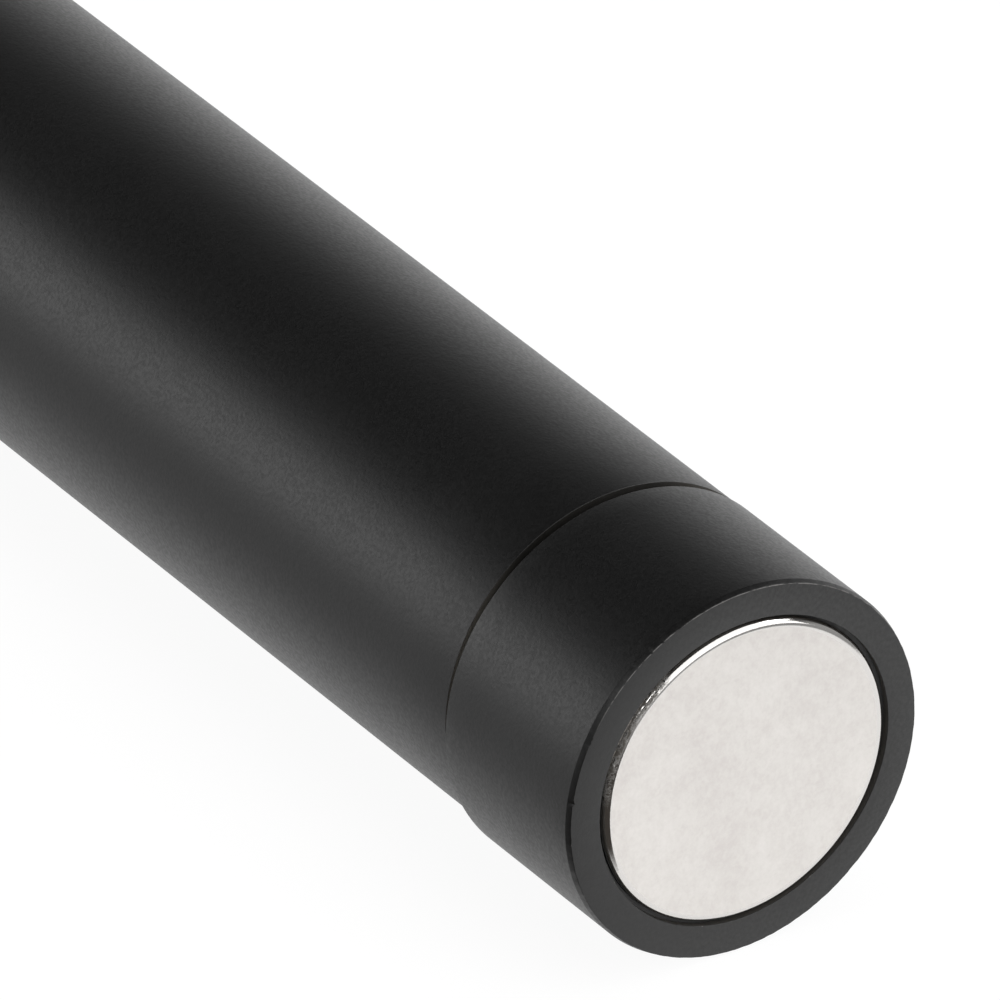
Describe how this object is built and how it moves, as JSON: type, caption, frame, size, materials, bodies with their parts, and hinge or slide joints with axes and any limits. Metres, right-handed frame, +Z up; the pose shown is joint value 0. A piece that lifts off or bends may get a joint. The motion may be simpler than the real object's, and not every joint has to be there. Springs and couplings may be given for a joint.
{
  "type": "counterfeit detector pen",
  "caption": "Slim matt black banknote tester pen: iodine marker nib under a pull-off cap with clip and ultraviolet lamp, and a disc magnet in a screw-on tail cap.",
  "frame": {"origin": "centre of the outer face of the tail magnet, on the pen's axis", "axes": "+X along the pen towards its tail, square out of the magnet; +Z up as the pen lies on a table, rolled until the pocket clip touches it"},
  "size_m": [0.1468, 0.0146, 0.0124],
  "materials": {
    "body_black": "bead-blasted, black anodised, matt with a fine grain",
    "nickel": "nickel plated, satin face with faint smudges, polished edge",
    "clip_steel": "black coated spring steel, satin",
    "rubber": "matt black nitrile",
    "spring_steel": "bright drawn wire",
    "ink_fibre": "ink-soaked polyester fibre",
    "nib_fibre": "felt fibre stained by iodine ink",
    "film": "thin clear film",
    "white_plastic": "natural polypropylene",
    "black_plastic": "moulded, fine texture",
    "cell_steel": "nickel plated steel can",
    "brass": "phosphor bronze strip",
    "board": "green solder mask",
    "led": "clear epoxy",
    "button": "matt silicone",
    "reflector": "metallised plastic",
    "lens": "clear acrylic"
  },
  "bodies": {
    "barrel": {"barrel": "body_black", "reservoir_plug": "white_plastic", "reservoir_core": "ink_fibre", "reservoir_film": "film", "grip_section": "body_black", "grip_o_ring": "rubber", "nib_holder": "black_plastic", "nib": "nib_fibre"},
    "tail_seal": {"tail_o_ring": "rubber", "tail_spring": "spring_steel"},
    "tail_cap": {"tail_cap": "body_black", "magnet": "nickel"},
    "cap": {"cap_shell": "body_black", "inner_cap": "white_plastic", "pocket_clip": "clip_steel", "lamp_carrier": "black_plastic", "contact_strip": "brass", "cell_spring": "spring_steel", "cell_rear": "cell_steel", "cell_middle": "cell_steel", "cell_front": "cell_steel", "led_board": "board", "uv_led": "led", "button_switch": "black_plastic", "reflector": "reflector", "lens_gasket": "rubber", "lamp_lens": "lens", "lamp_bezel": "body_black"},
    "lamp_button": {"lamp_button": "button", "switch_plunger": "white_plastic"}
  },
  "joints": [
    {"name": "tail_back_off", "type": "slide", "parent": "barrel", "child": "tail_seal", "axis": [1, 0, 0], "range_m": [0, 0.0045]},
    {"name": "tail_turn", "type": "hinge", "parent": "tail_seal", "child": "tail_cap", "pos_m": [0, 0, 0], "axis": [1, 0, 0], "range_deg": [0, 2161]},
    {"name": "cap_pull", "type": "slide", "parent": "barrel", "child": "cap", "axis": [-1, 0, 0], "range_m": [0, 0.045]},
    {"name": "lamp_press", "type": "slide", "parent": "cap", "child": "lamp_button", "axis": [0, -0.8575, -0.5145], "range_m": [0, 0.0005], "stiffness_N_per_m": 2000, "springref_m": -0.0002}
  ],
  "couplings": [
    {"joint": "tail_turn", "follows": "tail_back_off", "rad_per_m": 8377.6}
  ]
}
